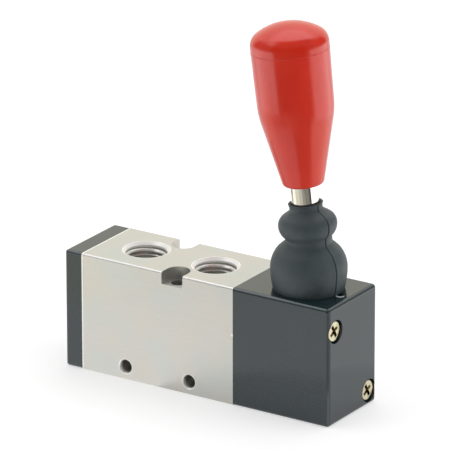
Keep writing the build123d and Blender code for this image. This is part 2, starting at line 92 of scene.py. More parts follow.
class Wire:
    """A shader socket that takes part in Python sums, each of which adds a Math node."""

    def __init__(self, shader, socket):
        self.shader = shader
        self.socket = socket

    def sum(self, operation, left, right=None):
        values = {0: left} if right is None else {0: left, 1: right}
        return self.shader.node("ShaderNodeMath", {"operation": operation}, values)

    def __add__(self, other):
        return self.sum("ADD", self, other)

    def __radd__(self, other):
        return self.sum("ADD", other, self)

    def __sub__(self, other):
        return self.sum("SUBTRACT", self, other)

    def __rsub__(self, other):
        return self.sum("SUBTRACT", other, self)

    def __mul__(self, other):
        return self.sum("MULTIPLY", self, other)

    def __rmul__(self, other):
        return self.sum("MULTIPLY", other, self)

    def __pow__(self, other):
        return self.sum("POWER", self, other)

    def __lt__(self, other):
        return self.sum("LESS_THAN", self, other)

    def __gt__(self, other):
        return self.sum("GREATER_THAN", self, other)

    def __abs__(self):
        return self.sum("ABSOLUTE", self)

    def least(self, other):
        return self.sum("MINIMUM", self, other)

    def most(self, other):
        return self.sum("MAXIMUM", self, other)


class Shader:
    """A material or world whose nodes are added one at a time."""

    def __init__(self, owner):
        self.owner = owner
        owner.use_nodes = True
        self.tree = owner.node_tree
        self.tree.nodes.clear()

    def node(self, kind, settings=None, values=None, out=0):
        """Adds a node: its settings first, then the values or links of its inputs."""
        made = self.tree.nodes.new(kind)
        for name, value in (settings or {}).items():
            if name == "stops":
                for element, (place, colour) in zip(made.color_ramp.elements, value):
                    element.position = place
                    element.color = (*colour, 1.0)
            else:
                setattr(made, name, value)
        for name, value in (values or {}).items():
            self.put(made.inputs[name], value)
        return Wire(self, made.outputs[out])

    def put(self, socket, value):
        if isinstance(value, Wire):
            self.tree.links.new(value.socket, socket)
        elif socket.type == "RGBA":
            socket.default_value = (*value, 1.0)
        else:
            socket.default_value = value

    def place(self):
        return self.node("ShaderNodeTexCoord", out=3)

    def stretched(self, scale):
        return self.node("ShaderNodeMapping", values={"Vector": self.place(), "Scale": scale})

    def axes(self):
        split = self.node("ShaderNodeSeparateXYZ", values={"Vector": self.place()}).socket.node
        return [Wire(self, socket) for socket in split.outputs]

    def length(self, *offsets):
        """The straight distance that these offsets along the axes make."""
        total = offsets[0] ** 2.0
        for offset in offsets[1:]:
            total = total + offset ** 2.0
        return total ** 0.5

    def noise(self, vector, scale, detail=2.0, roughness=0.5):
        values = {"Vector": vector, "Scale": scale, "Detail": detail, "Roughness": roughness}
        return self.node("ShaderNodeTexNoise", values=values)

    def ramp(self, value, *stops):
        """A colour between two stops."""
        return self.node("ShaderNodeValToRGB", {"stops": stops}, {"Fac": value})

    def level(self, value, low, high, to_low=0.0, to_high=1.0):
        values = {"Value": value, "From Min": low, "From Max": high, "To Min": to_low, "To Max": to_high}
        return self.node("ShaderNodeMapRange", {"interpolation_type": "SMOOTHSTEP"}, values)

    def near(self, distance, full, none):
        """1 up to one distance, and down to 0 at the other."""
        return self.level(distance, full, none, 1.0, 0.0)

    def mix(self, factor, first, second, blend="MIX"):
        settings = {"data_type": "RGBA", "blend_type": blend}
        return self.node("ShaderNodeMix", settings, {0: factor, 6: first, 7: second}, out=2)

    def bump(self, height, strength, distance):
        values = {"Height": height, "Strength": strength, "Distance": distance}
        return self.node("ShaderNodeBump", values=values)

    def surface(self, **values):
        named = {name.replace("_", " "): value for name, value in values.items()}
        return self.finish(self.node("ShaderNodeBsdfPrincipled", values=named))

    def finish(self, shade):
        kind = "World" if isinstance(self.owner, bpy.types.World) else "Material"
        output = self.tree.nodes.new("ShaderNodeOutput" + kind)
        self.tree.links.new(shade.socket, output.inputs["Surface"])
        return self.owner


def finish_named(name):
    return Shader(bpy.data.materials.new(name))


def dress(node, material):
    """Gives a CAD node its material."""
    piece = frame["nodes"][node]
    piece.data.materials.clear()
    piece.data.materials.append(material)
    return piece


def brushed_aluminium(low, high, rims, rim_radius, mouths, mouth_radius, bright_spot):
    """Painted highlight, pale and less metallic, at the bar's end, on its near top edge, round the side holes
    and in the mouths of the ports; the same pale paint on one small spot at the near face's end edge."""
    shade = finish_named("brushed_aluminium")
    long_lines = shade.noise(shade.stretched((18, 900, 900)), 3.0, 3.0, 0.6)
    fine_lines = shade.noise(shade.stretched((60, 2600, 2600)), 3.0, 2.0, 0.5)
    clouds = shade.noise(shade.place(), 60.0, 3.0)
    lines = long_lines * 0.6 + fine_lines * 0.4
    drawn = shade.ramp(lines, (0.30, (0.90, 0.90, 0.90)), (0.70, (1.0, 1.0, 1.0)))
    stain = shade.ramp(clouds, (0.38, (0.615, 0.588, 0.538)), (0.62, (0.580, 0.593, 0.563)))
    across, deep, height = shade.axes()
    # bright is a mask of painted highlight: pale and less metallic where a rounded edge or chamfer would catch the
    # light.
    bright = shade.near(across - low.x, 0.25 * MM, 0.5 * MM)
    for place in rims:
        off = shade.length(across - place.x, deep - place.y, height - place.z)
        bright = bright.most(shade.near(off, rim_radius + 0.3 * MM, rim_radius + 0.55 * MM))
    for place in mouths:
        off = shade.length(across - place.x, deep - place.y)
        painted_mouth_highlight = shade.near(off, mouth_radius + 1.0 * MM, mouth_radius + 1.2 * MM)
        bright = bright.most(painted_mouth_highlight * (height > high.z - 1.5 * MM))
    edge = shade.near(deep - low.y, 0.3 * MM, 0.5 * MM)
    bright = bright.most(edge * (height > high.z - 0.4 * MM))
    # A small pale spot at the near face's end edge, painted in the same way as the highlights.
    bright_spot_off = shade.length(across - bright_spot.x, deep - bright_spot.y, height - bright_spot.z)
    bright = bright.most(shade.near(bright_spot_off, 0.3 * MM, 0.7 * MM))
    # The painted highlight's pale colour goes over the brushed metal wherever the mask is 1.
    colour = shade.mix(bright, shade.mix(1.0, stain, drawn, "MULTIPLY"), (0.96, 0.95, 0.92))
    rough = shade.level(lines, 0.3, 0.7, 0.36, 0.48)
    return shade.surface(
        Base_Color=colour,
        Metallic=0.85 - 0.45 * bright,
        Roughness=rough,
        Normal=shade.bump(lines, 0.25, 0.00003),
    )


BRIGHT_SPOT_HEIGHT = 24 * MM
body_low, body_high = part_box("valve_body")
mounts = {mount["name"]: mount for mount in frame["record"]["mounts"]}
side_holes = mounts["side_holes"]
half_spacing = Vector((side_holes["dims"]["spacing_x_mm"] / 2 * MM, 0, 0))
between = Vector(side_holes["pos_m"])
between.y = body_low.y
outlets = (mounts["port_a"], mounts["port_b"])
aluminium = brushed_aluminium(
    body_low,
    body_high,
    rims=(between - half_spacing, between + half_spacing),
    rim_radius=side_holes["dims"]["hole_r_mm"] * MM,
    mouths=[Vector(mount["pos_m"]) for mount in outlets],
    mouth_radius=outlets[0]["dims"]["r_mm"] * MM,
    bright_spot=Vector((body_high.x, body_low.y, BRIGHT_SPOT_HEIGHT)),
)
dress("valve_body", aluminium)


# ---------------------------------------------------------------------------
# Port threads: cut by a tap in the wall of each port, one helical ridge with a flat crest.
# The outlets and the supply have a coarser thread than the two exhausts.

def new_tree(name, sizes, directions=()):
    """An empty geometry tree with named inputs, and a function that adds nodes to it."""
    tree = bpy.data.node_groups.new(name, "GeometryNodeTree")
    tree.interface.new_socket("Geometry", in_out="INPUT", socket_type="NodeSocketGeometry")
    for title in sizes:
        tree.interface.new_socket(title, in_out="INPUT", socket_type="NodeSocketFloat")
    for title in directions:
        tree.interface.new_socket(title, in_out="INPUT", socket_type="NodeSocketVector")
    tree.interface.new_socket("Geometry", in_out="OUTPUT", socket_type="NodeSocketGeometry")
    source = tree.nodes.new("NodeGroupInput")

    def add(kind, settings=None, values=None):
        made = tree.nodes.new(kind)
        for key, value in (settings or {}).items():
            setattr(made, key, value)
        for key, value in (values or {}).items():
            socket = made.inputs[key]
            if isinstance(value, bpy.types.NodeSocket):
                tree.links.new(value, socket)
            elif isinstance(value, str) and value in source.outputs:
                tree.links.new(source.outputs[value], socket)
            else:
                socket.default_value = value
        return made

    return tree, add


def close_tree(tree, add, geometry, material):
    """Ends a tree in real meshes of one material."""
    real = add("GeometryNodeRealizeInstances", values={"Geometry": geometry})
    painted = add("GeometryNodeSetMaterial", values={"Geometry": real.outputs[0], "Material": material})
    out = tree.nodes.new("NodeGroupOutput")
    tree.links.new(painted.outputs[0], out.inputs["Geometry"])


def new_object(name, data):
    """An object in the scene that holds this mesh, lamp or camera."""
    made = bpy.data.objects.new(name, data)
    bpy.context.scene.collection.objects.link(made)
    return made


def settled_mesh(piece):
    """The piece's mesh with its modifiers worked out."""
    bpy.context.view_layer.update()
    return bpy.data.meshes.new_from_object(piece.evaluated_get(bpy.context.evaluated_depsgraph_get()))


def piece_from_tree(name, tree, sizes, start=None):
    """Runs a tree with these sizes and keeps the result as a plain mesh."""
    seed = new_object(name + "_seed", start or bpy.data.meshes.new(name + "_seed"))
    run = seed.modifiers.new("run", "NODES")
    run.node_group = tree
    for item in tree.interface.items_tree:
        if item.in_out == "INPUT" and item.name in sizes:
            run[item.identifier] = sizes[item.name]
    made = settled_mesh(seed)
    made.name = name
    bpy.data.objects.remove(seed)
    return new_object(name, made)


def smooth(piece, angle=35):
    """Rounds the shading of gentle corners and keeps sharp ones."""
    for face in piece.data.polygons:
        face.use_smooth = True
    piece.data.set_sharp_from_angle(angle=radians(angle))
    return piece


def thread_metal():
    shade = finish_named("thread_metal")
    marks = shade.noise(shade.stretched((1, 1, 6)), 900.0, 2.0)
    colour = shade.ramp(marks, (0.3, (0.66, 0.65, 0.61)), (0.7, (0.80, 0.79, 0.75)))
    rough = shade.level(marks, 0.3, 0.7, 0.28, 0.40)
    return shade.surface(Base_Color=colour, Metallic=0.9, Roughness=rough)


def port_thread_tree(material):
    """A ridge with slanted flanks, wound to the right round the port's axis."""
    tree, add = new_tree("port_thread", ("Radius", "Pitch", "Turns", "Depth", "Length"))
    helix = add(
        "GeometryNodeCurveSpiral",
        values={
            "Resolution": 96,
            "Rotations": "Turns",
            "Start Radius": "Radius",
            "End Radius": "Radius",
            "Height": "Length",
            "Reverse": True,
        },
    )
    upright = add("GeometryNodeSetCurveNormal", {"mode": "Z_UP"}, {"Curve": helix.outputs[0]})
    root = add("ShaderNodeMath", {"operation": "MULTIPLY"}, {0: "Pitch", 1: 0.92})
    crest = add("ShaderNodeMath", {"operation": "MULTIPLY"}, {0: "Pitch", 1: 0.10})
    ridge = add(
        "GeometryNodeCurvePrimitiveQuadrilateral",
        {"mode": "TRAPEZOID"},
        {"Bottom Width": root.outputs[0], "Top Width": crest.outputs[0], "Height": "Depth", "Offset": 0.0},
    )
    turn = add("GeometryNodeTransform", values={"Geometry": ridge.outputs[0], "Rotation": (0, 0, pi / 2)})
    solid = add(
        "GeometryNodeCurveToMesh",
        values={"Curve": upright.outputs[0], "Profile Curve": turn.outputs[0], "Fill Caps": True},
    )
    close_tree(tree, add, solid.outputs[0], material)
    return tree


MAIN_PITCH = 1.41 * MM
EXHAUST_PITCH = 0.94 * MM
MAIN_PORT_OVER = 6 * MM
THREAD_GAP = 0.05 * MM
DEPTH_PER_PITCH = 0.8
PLAIN_TURNS = 1.5
THREAD_END_DEGREES = -57
port_thread = port_thread_tree(thread_metal())
for name, mount in mounts.items():
    if mount["kind"] != "threaded_hole":
        continue
    wall = mount["dims"]["r_mm"] * MM
    pitch = MAIN_PITCH if wall > MAIN_PORT_OVER else EXHAUST_PITCH
    depth = DEPTH_PER_PITCH * pitch
    turns = mount["dims"]["length_mm"] * MM / pitch - PLAIN_TURNS
    ridge = piece_from_tree(
        name + "_thread",
        port_thread,
        {
            "Radius": wall - depth / 2 + THREAD_GAP,
            "Pitch": pitch,
            "Turns": turns,
            "Depth": depth,
            "Length": turns * pitch,
        },
    )
    low = Vector(mount["pos_m"]) - Vector((0, 0, turns * pitch / 2))
    turn = Matrix.Rotation(radians(THREAD_END_DEGREES - 360 * turns), 4, "Z")
    ridge.data.transform(Matrix.Translation(low) @ turn)
    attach(smooth(ridge, 75), "valve")


# ---------------------------------------------------------------------------
# End cap and lever housing: cast blocks with ground faces and a smooth black finish.
# The finish has a painted highlight, lighter grey, along the edges at the housing's near corner,
# and a painted highlight, pale grey, on the top face at one side of the lock screw's hole.

def black_finish(corner, rim_highlight_centre):
    """Painted highlights: greyer on the three edges that meet at the corner, and pale grey on the top face round
    the highlight's middle.
    """
    shade = finish_named("black_finish")
    across, along, up = shade.axes()
    side, front, top = corner.x - across, along - corner.y, corner.z - up
    edge = shade.length(side, front).least(shade.length(front, top)).least(shade.length(side, top))
    # Painted highlight along the corner's three edges, where a rounded edge would catch the light.
    painted_edge_highlight = shade.near(edge, 0.45 * MM, 0.85 * MM)
    away = shade.length(across - rim_highlight_centre.x, along - rim_highlight_centre.y)
    # Painted highlight, pale grey, on the top face beside the lock screw's hole, where its rim would catch the
    # light.
    painted_rim_highlight = shade.near(away, 1.2 * MM, 1.5 * MM) * (top < 0.5 * MM)
    grain = shade.noise(shade.place(), 900.0, 3.0, 0.6)
    clouds = shade.noise(shade.place(), 45.0, 3.0)
    tone = grain * 0.4 + clouds * 0.6
    plain = shade.ramp(tone, (0.3, (0.007, 0.019, 0.023)), (0.7, (0.012, 0.026, 0.031)))
    rough = shade.level(clouds, 0.3, 0.7, 0.12, 0.18)
    finish = shade.mix(painted_edge_highlight, plain, (0.058, 0.076, 0.080))
    return shade.surface(
        Base_Color=shade.mix(painted_rim_highlight, finish, (0.62, 0.65, 0.66)),
        Roughness=rough,
        IOR=1.6,
        Normal=shade.bump(grain, 0.08, 0.00002),
    )


RIM_HIGHLIGHT_OFFSET = Vector((0.45, -0.70, 0)) * MM
housing_low, housing_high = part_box("lever_housing")
lock_low, lock_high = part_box("carrier_lock_screw")
black = black_finish(
    corner=Vector((housing_high.x, housing_low.y, housing_high.z)),
    rim_highlight_centre=(lock_low + lock_high) / 2 + RIM_HIGHLIGHT_OFFSET,
)
dress("end_cap", black)
dress("lever_housing", black)
block_top = housing_high.z


# ---------------------------------------------------------------------------
# Screws: pan heads with a cross recess, rolled threads, steel with a pale yellow zinc coat.
# Two hold the cap and two the housing, each sunk in its counterbore.

def zinc_coat(face):
    """Zinc colour on the heads' outer faces, this far from the middle, and painted shade, dull brown, further in:
    in their recesses and on the heads' sides.
    """
    shade = finish_named("zinc_coat")
    grain = shade.noise(shade.place(), 700.0, 3.0)
    across, _, _ = shade.axes()
    # deep is a mask of painted shade, dull brown, below the heads' outer faces.
    deep = shade.level(face - abs(across), 0.1 * MM, 0.5 * MM)
    bright = shade.ramp(grain, (0.3, (0.58, 0.52, 0.32)), (0.7, (0.76, 0.71, 0.51)))
    rough = shade.level(grain, 0.3, 0.7, 0.22, 0.36)
    return shade.surface(
        Base_Color=shade.mix(deep, bright, (0.34, 0.24, 0.11)),
        Metallic=0.95,
        Roughness=rough,
        Normal=shade.bump(grain, 0.1, 0.00003),
    )


def screw_tree(material):
    """Screws at the seed's points, heads at the points and shanks along -Z, all turned by one rotation."""
    sizes = ("Head Radius", "Head Height", "Shank Radius", "Length", "Pitch")
    slot_sizes = ("Slot Width", "Slot Length", "Slot Depth")
    tree, add = new_tree("cross_screws", sizes + slot_sizes, directions=("Facing",))

    def maths(operation, first, second):
        return add("ShaderNodeMath", {"operation": operation}, {0: first, 1: second}).outputs[0]

    def moved(shape, height, turn=0.0):
        """The shape turned about Z and then lifted to this height."""
        lift = add("ShaderNodeCombineXYZ", values={"Z": height}).outputs[0]
        values = {"Geometry": shape, "Translation": lift, "Rotation": (0, 0, turn)}
        return add("GeometryNodeTransform", values=values).outputs[0]

    def cone(corners, bottom, top, depth):
        values = {
            "Vertices": corners,
            "Side Segments": 1,
            "Radius Bottom": bottom,
            "Radius Top": top,
            "Depth": depth,
        }
        return add("GeometryNodeMeshCone", values=values).outputs["Mesh"]

    # Head: a disc, and on it a lower one whose edge slopes
    rim_height = maths("MULTIPLY", "Head Height", 0.86)
    disc = cone(64, "Head Radius", "Head Radius", rim_height)
    crown_radius = maths("MULTIPLY", "Head Radius", 0.90)
    crown = cone(64, "Head Radius", crown_radius, maths("MULTIPLY", "Head Height", 0.14))
    head_foot = maths("MULTIPLY", "Head Height", -1.0)
    blank = add("GeometryNodeMeshBoolean", {"operation": "UNION"})
    for shape in (disc, moved(crown, rim_height)):
        tree.links.new(shape, blank.inputs["Mesh 2"])
    head = moved(blank.outputs[0], head_foot)
    # Recess: two crossed wedges, wide at the top and narrow at their foot
    wedge = cone(
        4,
        maths("MULTIPLY", "Slot Length", 0.25),
        maths("MULTIPLY", "Slot Length", 0.80),
        maths("MULTIPLY", "Slot Depth", 1.2),
    )
    thin = maths("DIVIDE", "Slot Width", "Slot Length")
    narrow = add("ShaderNodeCombineXYZ", values={"X": 1.0, "Y": thin, "Z": 1.0})
    squared = moved(wedge, 0.0, pi / 4)
    blade = add("GeometryNodeTransform", values={"Geometry": squared, "Scale": narrow.outputs[0]})
    slot_foot = maths("MULTIPLY", "Slot Depth", -1.0)
    recessed = add("GeometryNodeMeshBoolean", {"operation": "DIFFERENCE"}, {"Mesh 1": head})
    for angle in (pi / 6, -pi / 3):
        tree.links.new(moved(blade.outputs[0], slot_foot, angle), recessed.inputs["Mesh 2"])
    # Shank with a rolled thread: a core and a helical ridge
    shank_length = maths("SUBTRACT", "Length", "Head Height")
    core_radius = maths("MULTIPLY", "Shank Radius", 0.84)
    core = add(
        "GeometryNodeMeshCylinder",
        values={"Vertices": 40, "Radius": core_radius, "Depth": shank_length},
    )
    shank_middle = maths("SUBTRACT", head_foot, maths("MULTIPLY", shank_length, 0.5))
    ridge_length = maths("MULTIPLY", shank_length, 0.9)
    helix = add(
        "GeometryNodeCurveSpiral",
        values={
            "Resolution": 24,
            "Rotations": maths("DIVIDE", ridge_length, "Pitch"),
            "Start Radius": core_radius,
            "End Radius": core_radius,
            "Height": ridge_length,
            "Reverse": True,
        },
    )
    upright = add("GeometryNodeSetCurveNormal", {"mode": "Z_UP"}, {"Curve": helix.outputs[0]})
    ridge_radius = maths("MULTIPLY", "Shank Radius", 0.155)
    ridge = add("GeometryNodeCurvePrimitiveCircle", values={"Resolution": 4, "Radius": ridge_radius})
    thread = add(
        "GeometryNodeCurveToMesh",
        values={"Curve": upright.outputs[0], "Profile Curve": ridge.outputs[0], "Fill Caps": True},
    )
    shank_foot = maths("MULTIPLY", "Length", -1.0)
    screw = add("GeometryNodeJoinGeometry")
    shank = moved(core.outputs["Mesh"], shank_middle)
    for part in (recessed.outputs[0], shank, moved(thread.outputs[0], shank_foot)):
        tree.links.new(part, screw.inputs[0])
    points = add("GeometryNodeMeshToPoints", values={"Mesh": "Geometry"})
    placed = add(
        "GeometryNodeInstanceOnPoints",
        values={"Points": points.outputs[0], "Instance": screw.outputs[0], "Rotation": "Facing"},
    )
    close_tree(tree, add, placed.outputs[0], material)
    return tree


def screw_places(node):
    """The screws' heads in a CAD node: one point for each, at the outer face of its head."""
    low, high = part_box(node)
    outer = low.x if low.x < body_low.x else high.x
    found = {}
    for vertex in frame["nodes"][node].data.vertices:
        place = vertex.co
        if abs(place.x - outer) < 0.05 * MM:
            found.setdefault(place.z > block_top / 2, []).append(place)
    return [sum(group, Vector()) / len(group) for group in found.values()]


SCREW_SIZES = {
    "Head Radius": 3.5 * MM,
    "Head Height": 2.4 * MM,
    "Shank Radius": 1.95 * MM,
    "Slot Width": 1.25 * MM,
    "Slot Length": 4.6 * MM,
    "Slot Depth": 1.7 * MM,
    "Pitch": 0.7 * MM,
}
head_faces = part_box("housing_screws")[1].x
cross_screws = screw_tree(zinc_coat(head_faces))
for node, facing in (("end_cap_screws", -pi / 2), ("housing_screws", pi / 2)):
    low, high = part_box(node)
    seed = bpy.data.meshes.new(node + "_places")
    seed.from_pydata(screw_places(node), [], [])
    sizes = {**SCREW_SIZES, "Length": high.x - low.x, "Facing": (0.0, facing, 0.0)}
    screws = piece_from_tree(node + "_crossed", cross_screws, sizes, start=seed)
    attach(smooth(screws, 30), "valve")
    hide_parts(node)


# ---------------------------------------------------------------------------
# Inner parts: pressed, screwed or slid into the bore, the housing and the grip, mostly out of sight.
# They are turned steel and bronze, a brass insert, nitrile rubber seals and white plastic rings.

def turned_metal(name, dark, light, rough_low, rough_high):
    shade = finish_named(name)
    rings = shade.noise(shade.stretched((2600, 60, 60)), 2.0, 2.0)
    colour = shade.ramp(rings, (0.3, dark), (0.7, light))
    rough = shade.level(rings, 0.3, 0.7, rough_low, rough_high)
    bump = shade.bump(rings, 0.1, 0.00002)
    return shade.surface(Base_Color=colour, Metallic=1.0, Roughness=rough, Normal=bump)


def plain_moulding(name, dark, light):
    shade = finish_named(name)
    grain = shade.noise(shade.place(), 1400.0, 3.0)
    colour = shade.ramp(grain, (0.3, dark), (0.7, light))
    return shade.surface(Base_Color=colour, Roughness=0.55, Normal=shade.bump(grain, 0.15, 0.00003))


ground_steel = turned_metal("ground_steel", (0.50, 0.50, 0.50), (0.62, 0.62, 0.61), 0.16, 0.28)
bronze = turned_metal("sintered_bronze", (0.50, 0.33, 0.16), (0.66, 0.46, 0.24), 0.35, 0.55)
brass = turned_metal("turned_brass", (0.62, 0.45, 0.18), (0.78, 0.60, 0.28), 0.2, 0.32)
spool_metal = turned_metal("anodised_spool", (0.55, 0.55, 0.56), (0.66, 0.66, 0.67), 0.22, 0.34)
seal_rubber = plain_moulding("seal_rubber", (0.012, 0.012, 0.012), (0.03, 0.03, 0.03))
white_plastic = plain_moulding("white_plastic", (0.78, 0.78, 0.76), (0.86, 0.86, 0.84))
for node, material in {
    "pivot_carrier": ground_steel,
    "pivot_pin": ground_steel,
    "lever_bush": bronze,
    "carrier_lock_screw": ground_steel,
    "end_cap_seal": seal_rubber,
    "housing_seal": seal_rubber,
    "spool": spool_metal,
    "spool_seals": seal_rubber,
    "spool_guide_rings": white_plastic,
    "spring_seat": bronze,
    "grip_insert": brass,
}.items():
    dress(node, material)


# ---------------------------------------------------------------------------
# Return spring: round steel wire wound in one coil between its seat and the spool's pocket.

def coil_tree(material):
    tree, add = new_tree("coil", ("Coil Radius", "Wire Radius", "Turns", "Length"))
    helix = add(
        "GeometryNodeCurveSpiral",
        values={
            "Resolution": 48,
            "Rotations": "Turns",
            "Start Radius": "Coil Radius",
            "End Radius": "Coil Radius",
            "Height": "Length",
            "Reverse": True,
        },
    )
    wire = add("GeometryNodeCurvePrimitiveCircle", values={"Resolution": 16, "Radius": "Wire Radius"})
    coil = add(
        "GeometryNodeCurveToMesh",
        values={"Curve": helix.outputs[0], "Profile Curve": wire.outputs[0], "Fill Caps": True},
    )
    close_tree(tree, add, coil.outputs[0], material)
    return tree


WIRE_RADIUS = 0.45 * MM
SPRING_TURNS = 6.0
SPRING_GAP = 0.05 * MM
spring_low, spring_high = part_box("return_spring")
spring_length = spring_high.x - spring_low.x
spring_middle = (spring_low + spring_high) / 2
spring = piece_from_tree(
    "coiled_spring",
    coil_tree(ground_steel),
    {
        "Coil Radius": (spring_high.y - spring_low.y) / 2 - WIRE_RADIUS,
        "Wire Radius": WIRE_RADIUS,
        "Turns": SPRING_TURNS,
        "Length": spring_length - 2 * (WIRE_RADIUS + SPRING_GAP),
    },
)
spring_foot = Vector((spring_low.x + WIRE_RADIUS + SPRING_GAP, spring_middle.y, spring_middle.z))
spring.data.transform(Matrix.Translation(spring_foot) @ Matrix.Rotation(pi / 2, 4, "Y"))
smooth(spring, 60)
stroke = next(joint for joint in frame["joints"] if joint["name"] == "spool_slide")["range_m"][1]
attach(spring, "valve")
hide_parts("return_spring")
(spring_length - stroke) / spring_length
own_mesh(spring)


# ---------------------------------------------------------------------------
# Lever rod: turned from one bar and brightly plated, with a ball foot and an eye for its bush.
# It leans at rest, and every round piece on it shares its axis.

hinge = next(joint for joint in frame["joints"] if joint["name"] == "lever_tilt")
pivot = Vector(hinge["pos_m"])
lever_tilt = radians(hinge["range_deg"][1] / 2)
lever_place = Matrix.Translation(pivot) @ Matrix.Rotation(-lever_tilt, 4, "Y")


def arc(centre, radius, start, end, count):
    """Points of an arc in the half plane (radius, height), angles in degrees from the outward direction."""
    steps = [radians(start + (end - start) * step / count) for step in range(count + 1)]
    return [(centre[0] + radius * cos(angle), centre[1] + radius * sin(angle)) for angle in steps]


def finished_mesh(name, shape, material):
    """The shape as a mesh of one material, its faces outwards."""
    bmesh.ops.recalc_face_normals(shape, faces=shape.faces)
    mesh = bpy.data.meshes.new(name)
    shape.to_mesh(mesh)
    shape.free()
    mesh.materials.append(material)
    return mesh


def turned_piece(name, outline, place, sides, material):
    """A lathe piece: the outline's points run along +Z and begin and end on the axis."""
    shape = bmesh.new()
    rings = []
    for radius, height in outline:
        if radius < 1e-7:
            rings.append([shape.verts.new((0, 0, height))])
            continue
        angles = [2 * pi * step / sides for step in range(sides)]
        rings.append([shape.verts.new((radius * cos(turn), radius * sin(turn), height)) for turn in angles])
    for lower, upper in zip(rings, rings[1:]):
        for step in range(sides):
            corners = [lower[step % len(lower)], lower[(step + 1) % len(lower)]]
            corners += [upper[(step + 1) % len(upper)], upper[step % len(upper)]]
            unique = list(dict.fromkeys(corners))
            if len(unique) > 2:
                shape.faces.new(unique)
    mesh = finished_mesh(name, shape, material)
    mesh.transform(place)
    return smooth(new_object(name, mesh))


def bright_plating():
    shade = finish_named("bright_plating")
    film = shade.noise(shade.place(), 120.0, 2.0)
    colour = shade.ramp(film, (0.3, (0.78, 0.74, 0.68)), (0.7, (0.84, 0.81, 0.76)))
    rough = shade.level(film, 0.3, 0.7, 0.06, 0.10)
    return shade.surface(Base_Color=colour, Metallic=1.0, Roughness=rough)


spool_low, spool_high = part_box("spool")
bore_height = (spool_low.z + spool_high.z) / 2
arm_length = (pivot.z - bore_height) / cos(lever_tilt)
ROD_RADIUS = 4.4 * MM
ROD_THREAD_RADIUS = 3.9 * MM
ROD_THREAD_LENGTH = 17.0 * MM
ROD_CHAMFER = 0.8 * MM
ARM_RADIUS = 3.0 * MM
ARM_TAPER = 2.5 * MM
NECK_RADIUS = 2.0 * MM
NECK_ABOVE_SPOOL = 0.6 * MM
BALL_RADIUS = 3.0 * MM
SHOULDER_BELOW_PIVOT = 8.0 * MM
GRIP_START = 32.03 * MM
BUSH_GAP = 0.02 * MM
EYE_REACH = 8 * MM
neck_top = -arm_length + (spool_high.z - bore_height) + NECK_ABOVE_SPOOL
neck_angle = 90 - degrees(atan(NECK_RADIUS / sqrt(BALL_RADIUS**2 - NECK_RADIUS**2)))
rod_outline = [(0.0, -arm_length - BALL_RADIUS)]
rod_outline += arc((0, -arm_length), BALL_RADIUS, -88, neck_angle, 20)
rod_outline += [
    (NECK_RADIUS, neck_top),
    (ARM_RADIUS, neck_top + ARM_RADIUS - NECK_RADIUS),
    (ARM_RADIUS, -SHOULDER_BELOW_PIVOT - ARM_TAPER),
    (ROD_RADIUS, -SHOULDER_BELOW_PIVOT),
    (ROD_RADIUS, GRIP_START),
    (ROD_THREAD_RADIUS, GRIP_START),
    (ROD_THREAD_RADIUS, GRIP_START + ROD_THREAD_LENGTH - ROD_CHAMFER),
    (ROD_THREAD_RADIUS - ROD_CHAMFER, GRIP_START + ROD_THREAD_LENGTH),
    (0.0, GRIP_START + ROD_THREAD_LENGTH),
]
plating = bright_plating()
rod = turned_piece("plated_rod", rod_outline, lever_place, 128, plating)
bush_low, bush_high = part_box("lever_bush")
eye_radius = (bush_high.z - bush_low.z) / 2 + BUSH_GAP
eye_outline = [(0.0, -EYE_REACH), (eye_radius, -EYE_REACH), (eye_radius, EYE_REACH), (0.0, EYE_REACH)]
eye_place = Matrix.Translation(pivot) @ Matrix.Rotation(pi / 2, 4, "X")
eye = turned_piece("rod_eye", eye_outline, eye_place, 48, plating)
bore = rod.modifiers.new("eye", "BOOLEAN")
bore.operation = "DIFFERENCE"
bore.solver = "EXACT"
bore.object = eye
rod.data = settled_mesh(rod)
rod.modifiers.clear()
bpy.data.objects.remove(eye)
smooth(rod)
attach(rod, "lever")
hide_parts("lever_rod")


# ---------------------------------------------------------------------------
# Handle grip: moulded in orange-red plastic over its insert, a cone that ends in a domed drum.
# The mould's two halves met just under the dome and left a fine line there.

def red_plastic():
    shade = finish_named("red_plastic")
    flow = shade.noise(shade.place(), 90.0, 4.0, 0.6)
    colour = shade.ramp(flow, (0.3, (0.65, 0.018, 0.003)), (0.7, (0.73, 0.026, 0.005)))
    rough = shade.level(flow, 0.3, 0.7, 0.20, 0.26)
    skin = shade.noise(shade.place(), 700.0, 2.0)
    return shade.surface(
        Base_Color=colour,
        Roughness=rough,
        IOR=1.5,
        Normal=shade.bump(skin, 0.06, 0.00003),
    )


GRIP_LENGTH = 53.03 * MM
GRIP_FLAT = 2 * MM
GRIP_OVERLAP = 0.75 * MM
FOOT_RADIUS = 7.1 * MM
FOOT_ROUND = 1.5 * MM
SHOULDER_RADIUS = 12.16 * MM
SHOULDER_HEIGHT = 24.4 * MM
SHOULDER_ROUND = 30.0 * MM
TOP_RADIUS = 12.52 * MM
CROWN_RADIUS = 19.0 * MM
EDGE_RADIUS = 4.5 * MM
LINE_WIDTH = 0.34 * MM
LINE_HEIGHT = 0.10 * MM
LINE_DROP = 1.7 * MM
crown_offset = sqrt((CROWN_RADIUS - EDGE_RADIUS) ** 2 - (TOP_RADIUS - EDGE_RADIUS) ** 2)
foot_height = GRIP_START - GRIP_OVERLAP
dome_start = foot_height + GRIP_LENGTH - CROWN_RADIUS + crown_offset
cone_angle = atan((SHOULDER_RADIUS - FOOT_RADIUS) / SHOULDER_HEIGHT)
drum_angle = atan((TOP_RADIUS - SHOULDER_RADIUS) / (dome_start - foot_height - SHOULDER_HEIGHT))
foot_set_in = FOOT_ROUND * tan((pi / 2 + cone_angle) / 2)
foot_centre = (FOOT_RADIUS - foot_set_in, foot_height + FOOT_ROUND)
shoulder_run = SHOULDER_ROUND * tan((cone_angle - drum_angle) / 2)
